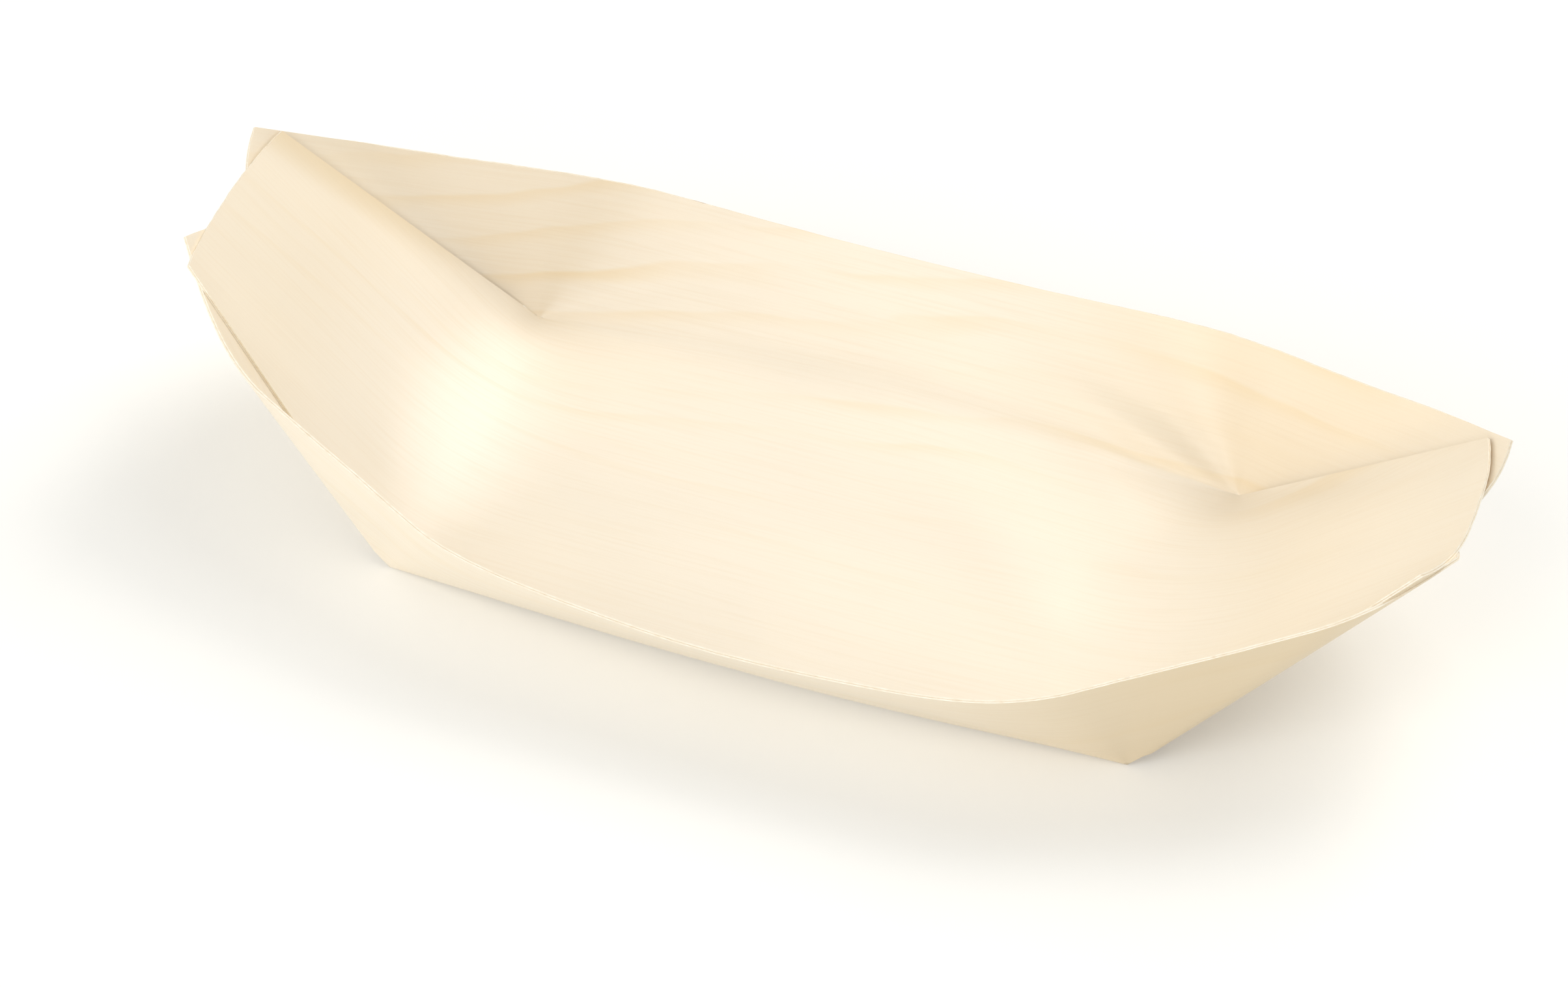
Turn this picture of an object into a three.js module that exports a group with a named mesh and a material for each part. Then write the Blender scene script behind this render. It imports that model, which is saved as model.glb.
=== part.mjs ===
// Wooden snack boat: one slit blank of veneer, folded up at both sides and both ends and glued.
// Millimetres, +Z up, +X along the boat, origin under the middle of the floor.
// The blank has two slits at each end. The tab between them turns up as the end wall, and the flaps
// outside them wrap round the corners and lie crossed behind the tab. Back is +Y, and front is -Y.

import * as THREE from 'three';

const { Vector3 } = THREE;
const degrees = Math.PI / 180;

// Blank
const sheetLength = 244.5;
const sheetWidth = 121.5;
const floorLength = 128;
const floorWidth = 67.5;
const tabLength = 58;
const tabEndWidth = 38;
const tabEndBow = 1;
const flapEndBow = 4;
const slitRelief = 3.6;
const slitReliefAtLap = 8;

// Sheet: two veneers on a paper core
const veneerThickness = 0.24;
const paperThickness = 0.08;
const plyGap = 0.01;

// Glue between the lapped layers at the ends
const glueThickness = 0.16;
const glueGap = 0.05;
const glueDiameter = 14;
const glueMargin = 2;

// Folds: the ends and the sides of a pressed boat differ a little
const leftTabRise = 44 * degrees;
const rightTabRise = 41.5 * degrees;
const backLean = 38.5 * degrees;
const frontLean = 45.5 * degrees;
const backRidgeTurn = 41.5 * degrees;
const leftFrontRidgeTurn = 36 * degrees;
const rightFrontRidgeTurn = 41.5 * degrees;
const creaseRound = 20 * degrees;
const ridgeRound = 52 * degrees;
const cornerRound = 21 * degrees;
const tabBendReach = 14;
const footBow = 3.2;
const rimDraw = 1.1;
const bowFalloff = 1.5;

// Laps: how gradually the flaps step outwards, and how far before the tab's edge they have done so
const lapEase = 50 * degrees;
const lapMargin = 11 * degrees;

// Facets
const bendStep = 4 * degrees;
const panelStep = 14 * degrees;
const radialShares = [0.45, 1];
const acrossShares = [-1, -0.92, -0.83, -0.72, -0.58, -0.35, 0, 0.35, 0.58, 0.72, 0.83, 0.92, 1];
const glueSides = 24;
const mergeGrid = 1e-4;

// Derived sizes
const floorReach = floorLength / 2;
const floorHalf = floorWidth / 2;
const sheetHalf = sheetWidth / 2;
const sheetReach = sheetLength / 2;
const tabEndHalf = tabEndWidth / 2;
const sideWidth = sheetHalf - floorHalf;
const sheetThickness = 2 * veneerThickness + paperThickness + 2 * plyGap;
const lapStep = sheetThickness + glueThickness + 2 * glueGap;
const slitTaper = Math.atan2(floorHalf - tabEndHalf, tabLength);
const slitAngle = Math.PI + slitTaper;
const slitEndHalf = floorHalf - (sheetReach - floorReach) * Math.tan(slitTaper);
const midAngle = Math.atan2(sideWidth, floorReach);
const tipAngle = Math.PI - Math.atan2(sideWidth, sheetReach - floorReach);

const up = new Vector3(0, 0, 1);
const slitEnd = new Vector3(floorReach, floorHalf, sheetThickness / 2);

function smooth(from, to, value) {
  return THREE.MathUtils.smoothstep(value, from, to);
}

function angleAbout(normal, from, to) {
  const turn = new Vector3().crossVectors(to, from).dot(normal);
  return Math.atan2(turn, from.dot(to));
}

// Seen from a slit end, a flat panel is a great circle of directions, and the round bend between two
// panels is the small circle that touches both, so the sheet bends there as a cone.
function roundBend(before, after, round) {
  const shared = 1 + before.dot(after);
  const along = new Vector3().crossVectors(after, before).normalize();
  const axis = before.clone().add(after).multiplyScalar(Math.sin(round) / shared);
  axis.addScaledVector(along, Math.sqrt(1 - 2 * Math.sin(round) ** 2 / shared));
  const touch = (panel) => axis.clone().addScaledVector(panel, -Math.sin(round)).normalize();
  const start = touch(before);
  const end = touch(after);
  const flatten = (direction) => direction.clone().addScaledVector(axis, -direction.dot(axis));
  const turn = angleAbout(axis, flatten(start), flatten(end));
  return { axis, start, end, turn, arc: Math.sin(round) * turn, rate: 1 / Math.sin(round) };
}

// The sheet round one slit end, worked out for the corner at +X +Y. Angles run round the slit end on the
// flat blank: 0 along the crease towards the middle, a right angle towards the rim.
function makeCorner(rise, lean, ridgeTurn) {
  const crease = new Vector3(-1, 0, 0);
  const wall = new Vector3(0, -Math.sin(lean), Math.cos(lean));
  const tab = new Vector3(-Math.sin(rise), 0, Math.cos(rise));

  const creaseBend = roundBend(up, wall, creaseRound);
  const creaseHalf = angleAbout(up, creaseBend.start, crease);

  const ridgeHalf = Math.asin(Math.tan(ridgeRound) * Math.tan(ridgeTurn / 2));
  const ridge = crease.clone().applyAxisAngle(wall, -(midAngle + ridgeHalf));
  const shoulder = wall.clone().applyAxisAngle(ridge, -ridgeTurn);
  const ridgeBend = roundBend(wall, shoulder, ridgeRound);
  const cornerBend = roundBend(shoulder, tab, cornerRound);

  const ridgeEnd = midAngle + ridgeBend.arc;
  const cornerStart = ridgeEnd + angleAbout(shoulder, ridgeBend.end, cornerBend.start);
  const cornerEnd = cornerStart + cornerBend.arc;
  const tabEdge = new Vector3(Math.cos(rise), -Math.tan(slitTaper), Math.sin(rise)).normalize();
  const edgeInset = angleAbout(tab, tabEdge, cornerBend.end);
  const lapStart = cornerEnd - edgeInset - lapMargin;

  // Each stretch turns its start direction about an axis, by its rate for each radian from its zero angle.
  const creaseRate = creaseBend.turn / (2 * creaseHalf);
  const stretches = [
    { until: -creaseHalf, zero: 0, start: crease, axis: up, rate: 1 },
    { ...creaseBend, until: creaseHalf, zero: -creaseHalf, rate: creaseRate },
    { until: midAngle, zero: 0, start: crease, axis: wall, rate: 1 },
    { ...ridgeBend, until: ridgeEnd, zero: midAngle },
    { until: cornerStart, zero: ridgeEnd, start: ridgeBend.end, axis: shoulder, rate: 1 },
    { ...cornerBend, until: cornerEnd, zero: cornerStart },
    { until: Infinity, zero: cornerEnd, start: cornerBend.end, axis: tab, rate: 1 },
  ];
  function direction(angle) {
    const { zero, start, axis, rate } = stretches.find(({ until }) => angle < until);
    return start.clone().applyAxisAngle(axis, -(angle - zero) * rate);
  }

  // How the corner's round lifts the tab's edge off the tab's plane, so that both lie together.
  function edgeLift(inset, distance) {
    const before = edgeInset - inset;
    if (before <= 0) {
      return new Vector3();
    }
    const flat = cornerBend.end.clone().applyAxisAngle(tab, before);
    return direction(cornerEnd - before).sub(flat).multiplyScalar(distance);
  }

  const bends = [[-creaseHalf, creaseHalf], [midAngle, ridgeEnd], [cornerStart, cornerEnd]];
  return { direction, edgeLift, bends, creaseHalf, lapStart, cornerEnd };
}

function makeEnd(side, rise, frontRidgeTurn) {
  const tab = new Vector3(-Math.sin(rise), 0, Math.cos(rise));
  const tabUp = new Vector3(Math.cos(rise), 0, Math.sin(rise));
  const back = makeCorner(rise, backLean, backRidgeTurn);
  const front = makeCorner(rise, frontLean, frontRidgeTurn);
  return { side, rise, tab, tabUp, back, front };
}

// The sides belly a little at the middle of the boat: the foot bows out and the rim is drawn in.
function sideBow(u, v) {
  const along = Math.max(0, 1 - (u / floorReach) ** 2) ** bowFalloff;
  const height = (v - floorHalf) / sideWidth;
  if (height > 0) {
    return along * (footBow - (footBow + rimDraw) * height);
  }
  return along * footBow * Math.max(0, 1 + height);
}

// Floor and tab: a soft bend in the middle of the end, tightening to a sharp corner at each slit end.
function tabPoint(end, beyondBend, v) {
  const reach = tabBendReach * Math.max(0, 1 - (v / floorHalf) ** 2);
  const past = Math.max(0, beyondBend - reach);
  const point = new Vector3(Math.min(beyondBend, -reach), 0, 0);
  if (reach > 0 && beyondBend > -reach) {
    const radius = reach / Math.tan(end.rise / 2);
    const angle = end.rise * (Math.min(beyondBend, reach) + reach) / (2 * reach);
    point.x += radius * Math.sin(angle);
    point.z = radius * (1 - Math.cos(angle));
  }
  point.x += past * Math.cos(end.rise) + floorReach;
  point.z += past * Math.sin(end.rise) + slitEnd.z;
  point.y = Math.abs(v) + sideBow(floorReach + beyondBend, Math.abs(v));
  if (beyondBend > 0) {
    const inward = floorHalf - Math.abs(v);
    const inset = Math.atan2(inward, beyondBend) - slitTaper;
    const corner = v < 0 ? end.front : end.back;
    point.add(corner.edgeLift(inset, Math.hypot(inward, beyondBend)));
  }
  return point.multiply(new Vector3(end.side, v < 0 ? -1 : 1, 1));
}

// A point of a side or a flap at a distance from the slit end. The front flaps lie one lap step behind the
// tab, and the back flaps cross another lap step outside them.
function wallPoint(end, across, angle, distance) {
  const corner = across < 0 ? end.front : end.back;
  const point = corner.direction(angle).multiplyScalar(distance).add(slitEnd);
  const u = floorReach - distance * Math.cos(angle);
  const v = floorHalf + distance * Math.sin(angle);
  const lapSteps = Math.min(across < 0 ? 1 : 2, distance / slitRelief);
  const stepped = smooth(corner.lapStart - lapEase, corner.lapStart, angle);
  point.addScaledVector(end.tab, -lapStep * lapSteps * stepped);
  point.y += sideBow(u, v);
  return point.multiply(new Vector3(end.side, across, 1));
}

// Where a line from the slit end stops: at the middle of the boat, at the rim or at the flap's bowed end.
function rulingTo(corner, angle) {
  if (angle <= midAngle) {
    return { angle, reach: -floorReach / corner.direction(angle).x };
  }
  if (angle <= tipAngle) {
    return { angle, reach: sideWidth / Math.sin(angle) };
  }
  const share = (angle - tipAngle) / (slitAngle - tipAngle);
  const u = sheetReach + 4 * flapEndBow * share * (1 - share) - floorReach;
  const v = THREE.MathUtils.lerp(sheetHalf, slitEndHalf, share) - floorHalf;
  const bowed = Math.PI - Math.atan2(v, u);
  return { angle: bowed, reach: Math.hypot(u, v) };
}

function rulings(corner) {
  const stations = [...corner.bends.flat(), corner.lapStart, tipAngle, slitAngle].sort((a, b) => a - b);
  const list = [rulingTo(corner, stations[0])];
  for (let i = 1; i < stations.length; i += 1) {
    const start = stations[i - 1];
    const span = stations[i] - start;
    const bent = corner.bends.some(([from, to]) => start >= from && start < to);
    const steps = Math.ceil(span / (bent ? bendStep : panelStep));
    for (let step = 1; step <= steps; step += 1) {
      list.push(rulingTo(corner, start + span * step / steps));
    }
  }
  return list;
}

// Distances of the rings along one ruling. Past the start of the lap the flap is relieved, so that it
// clears the tab where both leave the slit end.
function ringDistances(corner, ruling) {
  const lapped = ruling.angle > corner.lapStart + mergeGrid;
  const share = (ruling.angle - corner.lapStart) / (slitAngle - corner.lapStart);
  const first = lapped ? THREE.MathUtils.lerp(slitRelief, slitReliefAtLap, share) : slitRelief;
  const second = first + tabBendReach - slitRelief;
  const outer = radialShares.map((part) => second + (ruling.reach - second) * part);
  return lapped ? [null, first, second, ...outer] : [0, first, second, ...outer];
}

// The folded sheet's middle surface, as points and triangles whose upper side faces the inside.
class Sheet {
  constructor() {
    this.points = [];
    this.triangles = [];
    this.places = new Map();
  }

  add(point) {
    const key = point.toArray().map((value) => Math.round(value / mergeGrid)).join();
    if (!this.places.has(key)) {
      this.places.set(key, this.points.length);
      this.points.push(point);
    }
    return this.places.get(key);
  }

  addTriangle(a, b, c, flip) {
    if (a !== b && b !== c && c !== a) {
      this.triangles.push(flip ? [a, c, b] : [a, b, c]);
    }
  }

  addStrip(first, second, flip) {
    for (let i = 1; i < first.length; i += 1) {
      const corners = [first[i - 1], first[i], second[i], second[i - 1]];
      if (corners.includes(null)) {
        continue;
      }
      const [a, b, c, d] = corners;
      this.addTriangle(a, b, c, flip);
      this.addTriangle(a, c, d, flip);
    }
  }

  normals() {
    const sums = this.points.map(() => new Vector3());
    for (const triangle of this.triangles) {
      const [a, b, c] = triangle.map((index) => this.points[index]);
      const face = new Vector3().crossVectors(b.clone().sub(a), c.clone().sub(a)).normalize();
      triangle.forEach((index, corner) => {
        const here = this.points[index];
        const next = this.points[triangle[(corner + 1) % 3]].clone().sub(here);
        const last = this.points[triangle[(corner + 2) % 3]].clone().sub(here);
        sums[index].addScaledVector(face, next.angleTo(last));
      });
    }
    return sums.map((sum) => sum.normalize());
  }

  // One ply: the middle surface shifted to two heights, closed along the cut edge.
  ply(bottom, top) {
    const count = this.points.length;
    const normals = this.normals();
    const shifted = (height) => this.points.map((point, i) => {
      return point.clone().addScaledVector(normals[i], height);
    });
    const faces = [];
    const edges = new Map();
    for (const [a, b, c] of this.triangles) {
      faces.push([a + count, b + count, c + count], [a, c, b]);
      for (const [from, to] of [[a, b], [b, c], [c, a]]) {
        edges.set(`${from},${to}`, [from, to]);
      }
    }
    for (const [from, to] of edges.values()) {
      if (!edges.has(`${to},${from}`)) {
        faces.push([from, to, to + count], [from, to + count, from + count]);
      }
    }
    const geometry = new THREE.BufferGeometry().setFromPoints([...shifted(bottom), ...shifted(top)]);
    geometry.setIndex(faces.flat());
    geometry.computeVertexNormals();
    return geometry;
  }
}

// Where the rings of one corner meet the edge of the flat floor, from the middle to the slit end.
function floorEdge({ creaseHalf, direction }) {
  const distances = ringDistances({ lapStart: slitAngle }, rulingTo({ direction }, -creaseHalf)).reverse();
  return distances.map((distance) => {
    const half = floorHalf - distance * Math.sin(creaseHalf);
    return { beyondBend: -distance * Math.cos(creaseHalf), half };
  });
}

function addFloorAndTab(sheet, end) {
  const { lerp } = THREE.MathUtils;
  const backEdge = floorEdge(end.back);
  const rows = floorEdge(end.front).map((front, i) => acrossShares.map((share) => {
    const across = (1 + share) / 2;
    const beyondBend = lerp(front.beyondBend, backEdge[i].beyondBend, across);
    return sheet.add(tabPoint(end, beyondBend, lerp(-front.half, backEdge[i].half, across)));
  }));
  const tabRows = [slitRelief, tabBendReach];
  const rowShares = [...tabRows.map(() => 0), ...radialShares];
  rowShares.forEach((rowShare, i) => {
    rows.push(acrossShares.map((share) => {
      const reach = tabLength + tabEndBow * (1 - share ** 2);
      const beyondBend = tabRows[i] ?? lerp(tabBendReach, reach, rowShare);
      const half = floorHalf - beyondBend * Math.tan(slitTaper);
      return sheet.add(tabPoint(end, beyondBend, share * half));
    }));
  });
  for (let i = 1; i < rows.length; i += 1) {
    sheet.addStrip(rows[i - 1], rows[i], end.side > 0);
  }
}

function addSide(sheet, end, across) {
  const corner = across < 0 ? end.front : end.back;
  const columns = rulings(corner).map((ruling) => ringDistances(corner, ruling).map((distance) => {
    return distance === null ? null : sheet.add(wallPoint(end, across, ruling.angle, distance));
  }));
  for (let i = 1; i < columns.length; i += 1) {
    sheet.addStrip(columns[i - 1], columns[i], end.side * across > 0);
  }
}

// The inner glue fills the root of the front flap, behind the tab, and the outer glue the root of the lap
// of both flaps, a margin inside their slit edges.
function gluePlaces({ tabUp, back, front }) {
  const fitted = glueDiameter / 2 + glueMargin;
  const flapHalf = (slitAngle - front.cornerEnd) / 2;
  const inner = front.direction(slitAngle - flapHalf).multiplyScalar(fitted / Math.sin(flapHalf));

  const backSlit = back.direction(slitAngle);
  const frontSlit = front.direction(slitAngle).multiply(new Vector3(1, -1, 1));
  const backSlope = backSlit.y / backSlit.dot(tabUp);
  const frontSlope = frontSlit.y / frontSlit.dot(tabUp);
  const crossing = floorWidth / (frontSlope - backSlope);
  const outer = backSlit.clone().add(frontSlit).normalize();
  outer.multiplyScalar(fitted / Math.sin(backSlit.angleTo(frontSlit) / 2));
  return {
    inner: { height: inner.dot(tabUp), offset: -floorHalf - inner.y },
    outer: { height: crossing + outer.dot(tabUp), offset: floorHalf + crossing * backSlope + outer.y },
  };
}

// A round spot of glue lying in the tab's slope, a number of lap steps outside the tab's middle surface.
function glueSpot(end, name, { height, offset }, lapSteps) {
  const geometry = new THREE.CylinderGeometry(glueDiameter / 2, glueDiameter / 2, glueThickness, glueSides);
  geometry.rotateX(Math.PI / 2);
  const spot = new THREE.Mesh(geometry, glueMaterial);
  const outward = end.tab.clone().multiply(new Vector3(-end.side, -1, -1));
  spot.name = name;
  spot.position.copy(tabPoint(end, height, offset)).addScaledVector(outward, lapStep * lapSteps);
  spot.rotation.y = -end.side * end.rise;
  return spot;
}

const veneerMaterial = new THREE.MeshStandardMaterial({ color: 0xf5e6cb, roughness: 0.75, metalness: 0 });
const paperMaterial = new THREE.MeshStandardMaterial({ color: 0xc79a63, roughness: 0.9, metalness: 0 });
const glueMaterial = new THREE.MeshStandardMaterial({ color: 0xeadfc6, roughness: 0.45, metalness: 0 });

const ends = [
  makeEnd(-1, leftTabRise, leftFrontRidgeTurn),
  makeEnd(1, rightTabRise, rightFrontRidgeTurn),
];
const sheet = new Sheet();
for (const end of ends) {
  addFloorAndTab(sheet, end);
  addSide(sheet, end, 1);
  addSide(sheet, end, -1);
}

const boat = new THREE.Group();
const coreHalf = paperThickness / 2;
const faceBottom = coreHalf + plyGap;
const faceTop = faceBottom + veneerThickness;
const plies = [
  ['inner_veneer', faceBottom, faceTop, veneerMaterial],
  ['paper_core', -coreHalf, coreHalf, paperMaterial],
  ['outer_veneer', -faceTop, -faceBottom, veneerMaterial],
];
for (const [name, bottom, top, material] of plies) {
  const mesh = new THREE.Mesh(sheet.ply(bottom, top), material);
  mesh.name = name;
  boat.add(mesh);
}

for (const end of ends) {
  const endName = end.side < 0 ? 'left' : 'right';
  const { inner, outer } = gluePlaces(end);
  boat.add(glueSpot(end, `${endName}_inner_lap_glue`, inner, 0.5));
  boat.add(glueSpot(end, `${endName}_outer_lap_glue`, outer, 1.5));
}

export default boat;
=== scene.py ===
"""Wooden snack boat: the looks of its folded veneer sheet, its lap glue and a pale studio round it.

The sheet is folded from the same flat blank as the CAD part, on a finer grid. Metres, +Z up, +X along the
boat. Back is +Y and front is -Y.
"""

import math
from types import SimpleNamespace

import bmesh
import bpy
import numpy as np
from mathutils import Euler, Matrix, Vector


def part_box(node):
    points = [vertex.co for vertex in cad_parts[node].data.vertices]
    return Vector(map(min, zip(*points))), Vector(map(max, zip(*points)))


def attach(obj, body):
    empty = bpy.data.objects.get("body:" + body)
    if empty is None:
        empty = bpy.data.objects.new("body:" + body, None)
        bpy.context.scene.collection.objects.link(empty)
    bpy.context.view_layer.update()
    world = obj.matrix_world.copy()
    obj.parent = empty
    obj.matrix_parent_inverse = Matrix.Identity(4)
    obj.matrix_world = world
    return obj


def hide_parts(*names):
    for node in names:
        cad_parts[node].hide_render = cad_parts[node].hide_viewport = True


bl_info = {
    "name": "Wooden snack boat",
    "version": (1, 0, 0),
    "blender": (4, 5, 0),
    "location": "View3D > Sidebar > Snack boat",
    "description": "Folds the veneer sheet of a wooden snack boat and lights it on a pale floor",
    "category": "Add Mesh",
}

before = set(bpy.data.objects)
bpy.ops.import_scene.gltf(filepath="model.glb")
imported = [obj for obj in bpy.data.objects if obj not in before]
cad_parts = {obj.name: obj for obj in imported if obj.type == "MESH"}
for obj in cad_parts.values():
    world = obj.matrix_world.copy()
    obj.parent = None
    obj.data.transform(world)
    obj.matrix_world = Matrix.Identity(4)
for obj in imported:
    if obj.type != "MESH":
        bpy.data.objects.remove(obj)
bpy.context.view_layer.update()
BODY = "root"
MM = 0.001
UP = np.array((0.0, 0.0, 1.0))

# Grid of the fine sheet
LINE_STEP = math.radians(2.5)
ROOT_STEPS = 4
RING_COUNT = 26
ACROSS_COUNT = 57
MERGE_DISTANCE = 0.002 * MM
WELD_DISTANCE = 0.0005 * MM
SHARP_ANGLE = math.radians(50)

# Guards against rounding, and against dividing by nothing
LEAST_BEND = 1e-9
LEAST_SLANT = 1e-3
ROUNDING = 1e-6

# Unevenness of the cut edges, in radians per metre
EDGE_WAVES = (210, 470, 1130, 2300)

# Slow waves in the sheet: radians per metre along and across the blank, phase and share
SIDE_WAVES = ((61, 38, 0, 1), (118, -71, 0.9, 0.6))
FLOOR_WAVE = (74, -92, 0.4, 1)
FLOOR_WAVE_SHARE = 0.6
# Where the waves fade out, in millimetres past the slit ends
WAVE_FADE = (-18, 4)

# Dents in the sheet: middle on the blank, turn in degrees, half length, half width and height in millimetres
DENTS = (
    ((47, 38.8), -17, 15, 3, 1.0),
    ((43, 27), -43, 12, 3.5, 0.5),
    ((66, 49), 20, 7, 4, 0.5),
    ((33, 3), -40, 32, 8, 1.0),
    ((9, 55), 60, 9, 7, 0.4),
    ((-66, 27), 60, 8, 5, 0.5),
    ((-25, -22), 12, 24, 8, 0.4),
)
# Millimetres from a slit end over which the dents set in
DENT_SPAN = (1, 9)

# Growth rings, in millimetres on the blank: how far apart they are, and how they climb to the left back rim
RING_WIDTH = 9
RING_CLIMB = 0.24
CLIMB_END = 20
CLIMB_SPAN = (-25, 30)
# Soft arches in the rings: middle, half length, half width and height
RING_ARCHES = ((-75, -1, 34, 10, 11), (64, -9, 50, 11, -10))
# How clearly the rings show: the least share, and where across the blank it grows
FIGURE_LEAST = 0.35
FIGURE_SPAN = (15, 42)

# Painted shade and a yellower tone, with their spans in millimetres on the blank: painted shade along the
# back edge of a tab
TAB_EDGE_SHADE_WIDTH = 9
TAB_EDGE_SHADE_SPAN = (4, 45)
TAB_EDGE_SHADE_SLACK = 0.01
RIGHT_TAB_EDGE_SHADE = 0.4
# Yellower towards the ends of the inside, painted shade on the back right of the inside, and painted shade on
# the right end of the outside
ENDS_YELLOW_AND_SHADE = 0.35
LEFT_END_SPAN = (82, 105)
RIGHT_END_SPAN = (50, 95)
BACK_RIGHT_SHADE_SPAN = (10, 55)
OUTSIDE_SHADE = 0.95
OUTSIDE_SHADE_SPAN = (15, 80)


def length(name, description, millimetres):
    """A size in metres, with its default written in millimetres."""
    return bpy.props.FloatProperty(
        name=name, description=description, default=millimetres * MM, unit="LENGTH", precision=5)


def angle(name, description, degrees):
    return bpy.props.FloatProperty(
        name=name, description=description, default=math.radians(degrees), subtype="ANGLE")


def amount(name, description, value):
    return bpy.props.FloatProperty(name=name, description=description, default=value)


def colour(name, description, *srgb):
    """A colour whose default is written as an 8-bit screen colour."""
    shares = [value / 255 for value in srgb]
    linear = [s / 12.92 if s <= 0.04045 else ((s + 0.055) / 1.055) ** 2.4 for s in shares]
    return bpy.props.FloatVectorProperty(
        name=name, description=description, default=(*linear, 1), size=4, min=0, max=1, subtype="COLOR")


class BlankSizes(bpy.types.PropertyGroup):
    """The flat blank and its plies."""

    sheet_length: length("Sheet length", "Length of the blank at its side flaps", 244.5)
    sheet_width: length("Sheet width", "Width of the blank from rim to rim", 121.5)
    floor_length: length("Floor length", "Distance between the slit ends along the boat", 128)
    floor_width: length("Floor width", "Distance between the slit ends across the boat", 67.5)
    tab_length: length("Tab length", "Length of an end tab along its edges", 58)
    tab_end_width: length("Tab end width", "Width of an end tab at its top", 38)
    tab_end_bow: length("Tab end bow", "How far the top of a tab bows out", 1)
    flap_end_bow: length("Flap end bow", "How far the end of a flap bows out", 4)
    slit_relief: length("Slit relief", "Length of the relieved root of a flap at the lap's start", 3.6)
    slit_relief_at_lap: length("Slit relief at the lap", "Length of the relieved root at the slit", 8)
    veneer: length("Veneer", "Thickness of one veneer", 0.24)
    paper: length("Paper", "Thickness of the paper core", 0.08)
    ply_gap: length("Ply gap", "Clearance between two plies", 0.01)
    glue: length("Glue", "Thickness of the pressed lap glue", 0.02)
    glue_gap: length("Glue gap", "Clearance on each side of the lap glue", 0.005)


class FoldAngles(bpy.types.PropertyGroup):
    """How the blank is folded up."""

    left_rise: angle("Left rise", "Slope of the left tab", 44)
    right_rise: angle("Right rise", "Slope of the right tab", 41.5)
    back_lean: angle("Back lean", "Slope of the back side", 38.5)
    front_lean: angle("Front lean", "Slope of the front side", 45.5)
    back_ridge: angle("Back ridge", "Turn of the ridge at the back corners", 41.5)
    left_front_ridge: angle("Left front ridge", "Turn of the ridge at the left front corner", 36)
    right_front_ridge: angle("Right front ridge", "Turn of the ridge at the right front corner", 41.5)
    crease_round: angle("Crease round", "Half angle of the cone between floor and side", 20)
    ridge_round: angle("Ridge round", "Half angle of the cone on the side", 52)
    corner_round: angle("Corner round", "Half angle of the cone round the corner", 21)
    tab_bend: length("Tab bend", "Reach of the soft bend at the foot of a tab", 19)
    foot_bow: length("Foot bow", "How far the foot of a side bellies out", 3.2)
    rim_draw: length("Rim draw", "How far the rim of a side is drawn in", 1.1)
    bow_falloff: amount("Bow falloff", "How fast the belly fades towards the ends", 1.5)
    lap_ease: angle("Lap ease", "Angle over which a flap steps outwards", 50)
    lap_margin: angle("Lap margin", "Angle before the tab's edge where it has stepped out", 11)
    edge_wobble: length("Edge wobble", "Unevenness of the cut edges", 0.09)
    side_wave: length("Side wave", "Height of the soft waves in the sides", 0.35)


class BoatColours(bpy.types.PropertyGroup):
    """Colours of the plies and the glue."""

    early_wood: colour("Early wood", "Pale wood between the growth rings", 247, 235, 214)
    late_wood: colour("Late wood", "Yellower wood of the growth rings", 241, 219, 178)
    # This colour also paints shade: along the back edge of a tab, on the back right of the inside and on the
    # right end of the outside
    yellow_wood: colour("Yellow wood", "Wood yellowed by glue or age", 232, 207, 160)
    fibre: colour("Fibre", "Fine darker fibres", 235, 214, 180)
    cut_edge: colour("Cut edge", "Veneer at its cut edge", 252, 244, 226)
    cut_fleck: colour("Cut fleck", "Specks in the cut edge", 168, 122, 74)
    paper: colour("Paper", "Brown paper between the veneers", 241, 224, 193)
    paper_fibre: colour("Paper fibre", "Darker fibres in the paper", 226, 202, 162)
    glue: colour("Glue", "Dried glue", 234, 223, 198)


class StageSetup(bpy.types.PropertyGroup):
    """Camera, lamps and floor."""

    camera_place: bpy.props.FloatVectorProperty(
        name="Camera place", description="Where the camera stands",
        default=(0.18577, -0.59523, 0.58687), subtype="TRANSLATION", unit="LENGTH")
    camera_turn: bpy.props.FloatVectorProperty(
        name="Camera turn", description="How the camera is turned",
        default=[math.radians(turn) for turn in (47.129, -1.594, 19.385)], subtype="EULER", unit="ROTATION")
    lens: amount("Lens", "Focal length in millimetres on a 36 mm sensor", 116.78)
    back_power: amount("Back power", "Watts of the softbox behind the boat", 7.2)
    top_power: amount("Top power", "Watts of the softbox high behind the boat", 3.6)
    left_power: amount("Left power", "Watts of the low softbox at the front left", 4.9)
    front_power: amount("Front power", "Watts of the low softbox in front", 2.9)
    high_power: amount("High power", "Watts of the softbox high in front", 4.1)
    sky: amount("Sky", "Strength of the pale surroundings", 0.5)
    floor: colour("Floor", "Pale floor", 237, 236, 231)
    floor_lift: amount("Floor lift", "Brightness that the camera sees on the floor besides its light", 0.165)


def values(group):
    return {name: getattr(group, name) for name in type(group).__annotations__}


# Folding

def unit(vector):
    return vector / np.linalg.norm(vector)


def turned(vector, axis, turn):
    turn = np.asarray(turn, float)[..., None]
    along = axis * (vector @ axis)
    return along + (vector - along) * np.cos(turn) + np.cross(axis, vector) * np.sin(turn)


def angle_about(normal, before, after):
    return math.atan2(np.cross(after, before) @ normal, before @ after)


def smooth(start, stop, value):
    share = np.clip((value - start) / (stop - start), 0, 1)
    return share * share * (3 - 2 * share)


def lerp(start, stop, share):
    return start + (stop - start) * share


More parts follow.
